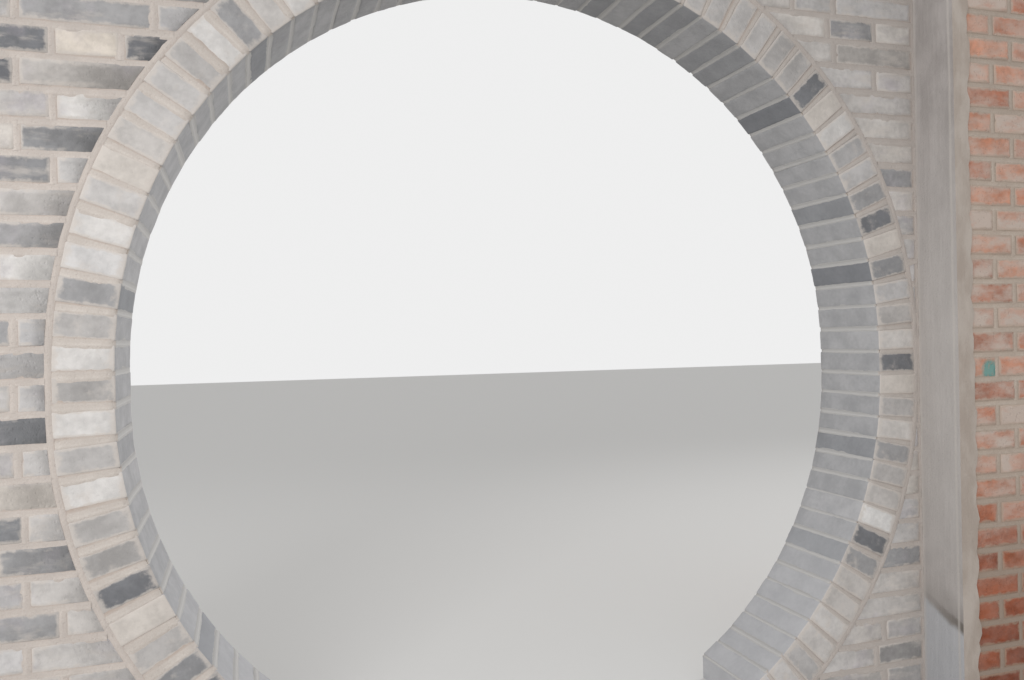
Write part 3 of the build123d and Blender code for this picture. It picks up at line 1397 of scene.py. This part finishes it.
def lay_ring_joint(centre, angle, width, shift=0.0, swell=1.0):
    """One joint of the ring, struck under the upper brick."""
    turn = (pi, -angle, 0) if cos(angle) < 0 else (0, -angle, 0)
    is_wide = width == left_joint_width
    pattern, depth = (wide_joint, 1.0) if is_wide else (thin_joint, thin_joint_depth)
    return copy_of(pattern, (shift, 0, centre), turn, (1, depth, width * swell))


def foot_joints():
    """The half joint between the last brick of each lower run and the foot under it."""
    for _, centre, first_angle, pitch, count in ring_runs()[1:]:
        angle = first_angle + (count - foot_joint_back) * pitch
        yield lay_ring_joint(centre, angle, foot_joint_width)


def ring_joints():
    """Point every joint of the ring."""
    clips = list(foot_joints())
    for centre, angle, width in joint_stations():
        shift = stray(joint_play)
        clips.append(lay_ring_joint(centre, angle, width, shift, dice.uniform(0.9, 1.12)))
    piece = join("pointing_ring_joints", clips)
    wear(piece, ring_pointing_wear)
    trim_at_ground(piece)
    finish_piece(piece, "mortar", ring_pointing)


# The bed round the ring's outer edge, nearly flush with the bricks on both sides
round_bed_rows = [
    (-0.0040, 0.3),
    (-0.0012, 0.2),
    (-0.0003, 0.5),
    (0.0000, 0.8),
    (-0.0004, 0.6),
    (-0.0014, 0.4),
    (-0.0040, 0.3),
]
round_bed_radius = 1.0405
round_bed_row = 0.0040
round_bed_start = 0.012


def round_bed():
    """Spin the bed from the crown down to the foot, then mirror it both ways."""
    crown = springing_high + round_bed_radius
    place = (-round_bed_start / 2, -wall_half, crown)
    bed = start_sheet("pointing_round_ring", 1, 6, round_bed_start, 6 * round_bed_row, place)
    for row, (height, _) in enumerate(round_bed_rows):
        level = crown + (row - 3) * round_bed_row
        shift_points(bed, lambda point: abs(point.z - level) < round_bed_row / 3, (0, -height, 0))
    select_points(bed, lambda point: point.x > -hair)
    quarter = {"steps": 75, "angle": pi / 2, "axis": (0, -1, 0)}
    bpy.ops.mesh.spin(center=(0, 0, springing_high), **quarter)
    for _ in range(6):
        drop = (0, 0, -(springing_high - springing_low) / 6)
        bpy.ops.mesh.extrude_edges_move(TRANSFORM_OT_translate={"value": drop})
    foot = {"steps": 46, "angle": lower_sweep, "axis": (0, -1, 0)}
    bpy.ops.mesh.spin(center=(0, 0, springing_low), **foot)
    close_edit()
    change_points(bed, lambda point: point.x < -hair, bpy.ops.mesh.delete, type="VERT")
    apply_modifier(bed, "MIRROR", use_axis=(True, True, False), merge_threshold=seam)
    change_all(bed, bpy.ops.mesh.normals_make_consistent, inside=False)
    mark_round_bed(bed)
    return bed


def mark_round_bed(bed):
    """Write how each row of the round bed was struck, by its distance from the centre."""
    marks = bed.data.attributes.new("struck", "FLOAT", "POINT").data
    for point, mark in zip(bed.data.vertices, marks):
        x, _, z = point.co
        radius = sqrt(x**2 + past_springing(z) ** 2)
        row = round((radius - round_bed_radius) / round_bed_row) + 3
        mark.value = round_bed_rows[min(max(row, 0), 6)][1]


ring_joints()
ring_bed = round_bed()
wear(ring_bed, round_bed_wear)
trim_at_ground(ring_bed)
finish_piece(ring_bed, "mortar", beige_pointing)

for side in ("left", "right"):
    foot = make_core(f"worn_foot_{side}", f"ring_foot_{side}", [])
    apply_modifier(foot, "BEVEL", width=0.003, segments=2, limit_method="ANGLE")
    foot.data.attributes.new("fired", "FLOAT_COLOR", "POINT")
    fire(foot, 0.55, 0.1)
    finish_piece(foot, "grey_brick", ring_brick, f"ring_foot_{side}")

for node in ("crown", "left", "right", "lower_left", "lower_right"):
    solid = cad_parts[f"ring_mortar_{node}"]
    solid.data.materials.clear()
    solid.data.materials.append(bedding)


# Pier: red bricks two to a side, laid three-quarter and header, then header and stretcher

pier_corner = pier_half - header_length


def red_firing():
    """The firing of a red brick, and how chalky its bloom is."""
    return dice.uniform(0.25, 0.95), dice.uniform(0, 1) ** 2


def pier_course(number):
    """One course of the pier: the bricks round its four sides, and its upright joints."""
    z_low = number * course
    corner = header_length if number % 2 else three_quarter
    left = pier_side + corner
    right = pier_end - corner
    front_depth = stretcher_length if number % 2 else header_length
    middle_depth = header_length if number % 2 else stretcher_length
    places = []
    for y_low in (-pier_half, pier_half - front_depth):
        places.append((pier_side, left, y_low, y_low + front_depth))
        places.append((right, pier_end, y_low, y_low + front_depth))
    for y_low in (-pier_half, pier_half - middle_depth):
        places.append((left + joint, right - joint, y_low, y_low + middle_depth))
    if number % 2 == 0:
        inner = pier_corner - joint
        places.append((pier_end - header_length, pier_end, -inner, inner))
    bricks = [lay_brick(*place, z_low, red_firing()) for place in places]
    z = z_low + course / 2
    uprights = []
    for x in (left + joint / 2, right - joint / 2):
        uprights.append((x, -pier_half, z, 0))
        uprights.append((x, pier_half, z, pi))
    side_joints = (0,) if number % 2 else (-pier_corner + joint / 2, pier_corner - joint / 2)
    for y in side_joints:
        uprights.append((pier_end, y, z, pi / 2))
    return bricks, uprights


def beds_round_pier(z):
    """A bed joint across the front, the end and the back of the pier."""
    middle = (pier_side + pier_end) / 2
    width = pier_end - pier_side
    places = (
        (width, (middle, -pier_half, z), 0),
        (width, (middle, pier_half, z), pi),
        (2 * pier_half, (pier_end, 0, z), pi / 2),
    )
    return [lay_bed(length, place, (0, 0, turn)) for length, place, turn in places]


pier_bricks = []
pier_strips = []
for number in range(course_total):
    bricks, uprights = pier_course(number)
    pier_bricks += bricks
    pier_strips += [lay_upright(*upright) for upright in uprights]
    if number:
        pier_strips += beds_round_pier(number * course)

# The pier's pointing is flatter and thinner than the wall's
flatter = Matrix.Diagonal((1, 0.8, 0.75, 1))
for strip in pier_strips:
    strip.data.transform(flatter)

assemble("bricks_pier", pier_bricks, brick_wear, "red_brick", red_brick)
assemble("pointing_pier", pier_strips, pier_pointing_wear, "mortar", pier_pointing)
lay_core("core_pier", "pier_shaft", [front_and_back, (0, 0, core_depth)], "red_brick")


# Copings: one oversailing course on the wall and on the pier

coping_core_rise = 0.007


def point_coping(low, high, along, across):
    """The upright joints of a coping: on its long faces and on its ends."""
    places = [(x, low.y, 0) for x in along] + [(x, high.y, pi) for x in along]
    places += [(low.x, y, -pi / 2) for y in across] + [(high.x, y, pi / 2) for y in across]
    middle = low.z + course / 2
    return [lay_upright(x, y, middle, turn) for x, y, turn in places]


def lay_wall_coping():
    """Two rows of stretchers along the wall's top, with a header at the free end."""
    low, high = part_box("wall_coping")
    places = [(low.x, low.x + header_length, low.y, high.y)]
    start = low.x + header_length + joint
    count = round((high.x - start) / stretcher_cell)
    pitch = (high.x - start) / count
    along = []
    for number in range(count):
        x_low = start + number * pitch
        along.append(x_low - joint / 2)
        for y_low in (low.y, high.y - header_length):
            places.append((x_low, x_low + pitch - joint, y_low, y_low + header_length))
    bricks = [lay_brick(*place, low.z, quiet_firing()) for place in places]
    return bricks, point_coping(low, high, along, [])


def lay_pier_coping():
    """Bricks round the four sides of the pier's top, set in by what they lie out of true."""
    low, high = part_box("pier_coping")
    set_in = Vector((1.5 * hair, 1.5 * hair, 0))
    low, high = low + set_in, high - set_in
    third = (high.x - low.x - 2 * joint) / 3
    half = (high.y - low.y - 2 * header_length - 3 * joint) / 2
    places = []
    for y_low in (low.y, high.y - header_length):
        for number in range(3):
            x_low = low.x + number * (third + joint)
            places.append((x_low, x_low + third, y_low, y_low + header_length))
    for x_low in (low.x, high.x - header_length):
        for number in range(2):
            y_low = low.y + header_length + joint + number * (half + joint)
            places.append((x_low, x_low + header_length, y_low, y_low + half))
    bricks = [lay_brick(*place, low.z, red_firing()) for place in places]
    along = [low.x + number * (third + joint) - joint / 2 for number in (1, 2)]
    across = [low.y + header_length + joint / 2 + number * (half + joint) for number in range(3)]
    return bricks, point_coping(low, high, along, across)


all_round = [(0, core_depth, core_depth), front_and_back, (2, coping_core_rise, 0)]
wall_coping_bricks, wall_coping_strips = lay_wall_coping()
pier_coping_bricks, pier_coping_strips = lay_pier_coping()
assemble("coping_bricks_wall", wall_coping_bricks, [], "grey_brick", grey_brick)
assemble("coping_bricks_pier", pier_coping_bricks, [], "red_brick", red_brick)
assemble("pointing_coping_wall", wall_coping_strips, [], "mortar", beige_pointing)
assemble("pointing_coping_pier", pier_coping_strips, [], "mortar", pier_pointing)
lay_core("core_coping_wall", "wall_coping", all_round, "grey_brick")
lay_core("core_coping_pier", "pier_coping", all_round, "red_brick")


# Caps: cement drawn up to a ridge on the wall and to a hip on the pier

cap_edge = 0.022
cap_inset = 0.001


def model_cap(name, node, narrow):
    """Raise a slab's top to a ridge or a hip, and leave it uneven from the trowel."""
    low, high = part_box(node)
    middle_x = (low.x + high.x) / 2
    middle_y = (low.y + high.y) / 2
    size = (high.x - low.x - 2 * cap_inset, high.y - low.y - 2 * cap_inset, cap_edge)
    cap = start_block(name, size, (middle_x, middle_y, low.z + cap_edge / 2))
    select_points(cap, lambda point: point.z > low.z + cap_edge / 2)
    rise = (0, 0, high.z - low.z - cap_edge - cap_inset)
    bpy.ops.mesh.extrude_region_move(TRANSFORM_OT_translate={"value": rise})
    bpy.ops.transform.resize(value=narrow, center_override=(middle_x, middle_y, high.z))
    close_edit()
    apply_modifier(cap, "BEVEL", width=0.004, segments=2, limit_method="ANGLE")
    apply_modifier(cap, "REMESH", mode="VOXEL", voxel_size=0.009)
    roughen(cap, hand_lumps, 0.003)
    bpy.ops.object.shade_smooth_by_angle(angle=radians(40))
    finish_piece(cap, "cement", cement_render, node)


model_cap("cement_cap_wall", "wall_cap", (1, 0.06, 1))
model_cap("cement_cap_pier", "pier_cap", (0.125, 0.125, 1))


# Cement on the pier's side, turned round the corner with a ragged edge

cement_thickness = 0.012
ragged_width = 0.025
ragged_wander = 0.030


def model_cement():
    """Fold a sheet round the pier's front corner, and group the points along its free edge on the
    front.
    """
    low, high = cement_box
    depth = -wall_half - low.y
    wrap = high.x - low.x
    height = high.z - low.z
    columns = 16
    place = (low.x + (wrap - depth) / 2, low.y, height / 2)
    sheet = start_sheet("cement_side_front", columns, 120, depth + wrap, height, place)
    near = (depth + wrap) / columns / 3
    corner = min((vertex.co.x for vertex in sheet.data.vertices), key=lambda x: abs(x - low.x))
    shift_points(sheet, lambda point: abs(point.x - corner) < near, (low.x - corner, 0, 0))
    change_points(
        sheet,
        lambda point: point.x < low.x - hair / 2,
        bpy.ops.transform.rotate,
        value=pi / 2,
        orient_axis="Z",
        center_override=(low.x, low.y, 0),
    )
    select_points(sheet, lambda point: point.x > high.x - ragged_width)
    bpy.ops.object.vertex_group_add()
    bpy.ops.object.vertex_group_assign()
    close_edit()
    return sheet


cement_front = model_cement()
roughen(cement_front, hand_lumps, ragged_wander, "X", cement_front.vertex_groups[0].name)
roughen(cement_front, long_waver, 0.003)
apply_modifier(cement_front, "SOLIDIFY", thickness=cement_thickness, offset=-1)
finish_piece(cement_front, "cement", cement_render, "render_front")
cement_back = copy_of(cement_front, stretch=(1, -1, 1))
cement_back.parent = None
cement_back.name = "cement_side_back"
settle(cement_back)
change_all(cement_back, bpy.ops.mesh.normals_make_consistent, inside=False)
finish_piece(cement_back, "cement", cement_render, "render_back")

discard(ring_cutter, stretcher, header, ring_pattern)
discard(bed_unit, upright_unit, wide_joint, thin_joint)


# Floor, light and camera

# The strength of the soft light, and how much brighter the background looks
sky_strength = 0.60
background_extra = 0.26

# Where the camera stands, how far it is turned to the right and down, how far it leans, in
# radians, and its lens in millimetres
camera_place = (-0.6779, -1.9585, 0.9475)
camera_turn = 0.3072
camera_dip = 0.0022
camera_lean = 0.0198
camera_lens = 29.83


def make_floor():
    """A plain pale floor."""
    material = bpy.data.materials.new("floor_pale")
    material.use_nodes = True
    shader = material.node_tree.nodes["Principled BSDF"]
    shader.inputs["Base Color"].default_value = paint(222, 221, 219)
    shader.inputs["Roughness"].default_value = 0.9
    bpy.ops.mesh.primitive_plane_add(size=40, location=(0, 0, -ground_cut))
    floor = bpy.context.object
    floor.name = "floor"
    floor.data.materials.append(material)


def make_world():
    """Soft light from all round, and a pale background where the camera sees past the object."""
    world = bpy.data.worlds.new("studio")
    world.use_nodes = True
    tree = world.node_tree
    background = tree.nodes["Background"]
    path = add(tree, "LightPath")
    direct = calc(tree, "MAXIMUM", path.outputs["Is Camera Ray"], path.outputs["Is Glossy Ray"])
    seen = calc(tree, "MAXIMUM", direct, path.outputs["Is Transmission Ray"])
    background.inputs["Color"].default_value = (1, 1, 1, 1)
    strength = calc(tree, "ADD", times(tree, seen, background_extra), sky_strength)
    tree.links.new(strength, background.inputs["Strength"])
    bpy.context.scene.world = world


def make_lamp(name, place, aim, size, power, spread):
    """A soft lamp turned towards a point."""
    bpy.ops.object.light_add(type="AREA", location=place)
    lamp = bpy.context.object
    lamp.name = name
    lamp.data.shape = "SQUARE"
    lamp.data.size = size
    lamp.data.energy = power
    lamp.data.spread = spread
    lamp.rotation_euler = (Vector(aim) - Vector(place)).to_track_quat("-Z", "Y").to_euler()


def make_camera():
    """The camera where the photograph was taken, a little left of the opening's middle."""
    bpy.ops.object.camera_add()
    camera = bpy.context.object
    place = Matrix.Translation(camera_place)
    turn = Matrix.Rotation(-camera_turn, 4, "Z") @ Matrix.Rotation(pi / 2 - camera_dip, 4, "X")
    camera.matrix_world = place @ turn @ Matrix.Rotation(-camera_lean, 4, "Z")
    camera.data.sensor_width = 36
    camera.data.lens = camera_lens
    bpy.context.scene.camera = camera


make_floor()
make_world()
make_lamp("front_left", (-2.6, -3.1, 2.3), (-0.2, 0, 1.2), 1.8, 35, radians(120))
make_lamp("back_right", (8.0, 3.4, 3.0), (-0.9, 0, 0.9), 3.0, 33, radians(56))
make_camera()
bpy.context.scene.view_settings.view_transform = "Standard"
